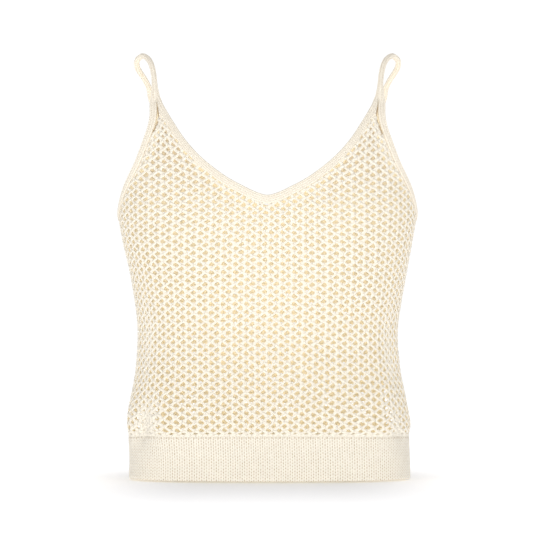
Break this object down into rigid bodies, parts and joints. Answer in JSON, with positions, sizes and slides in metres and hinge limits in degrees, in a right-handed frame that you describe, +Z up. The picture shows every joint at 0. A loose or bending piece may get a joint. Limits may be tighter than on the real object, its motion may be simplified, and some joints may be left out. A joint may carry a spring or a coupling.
{
  "type": "worn knit tank top held up by its shoulder straps",
  "caption": "Sleeveless openwork knit top in its hollow worn form, with a V neck, thin cord straps, bound edges and a plain knit hem band.",
  "frame": {"origin": "midway between the two shoulder straps, at the height of the undersides of their crests, where the wearer's shoulders hold the garment up", "axes": "+Z up, the front faces -Y, +X is on the right when the front is looked at"},
  "size_m": [0.315, 0.222, 0.4461],
  "materials": {
    "openwork_knit": "matt cream cotton yarn, openwork knit",
    "plain_knit": "matt cream cotton yarn, fine plain knit",
    "strap_cord": "matt cream cotton yarn, knit round cord"
  },
  "bodies": {
    "root": {"front_panel": "openwork_knit", "back_panel": "openwork_knit", "front_hem_band": "plain_knit", "back_hem_band": "plain_knit", "front_neck_binding": "plain_knit", "back_neck_binding": "plain_knit", "left_armhole_binding": "plain_knit", "right_armhole_binding": "plain_knit", "left_strap": "strap_cord", "right_strap": "strap_cord"}
  },
  "joints": []
}
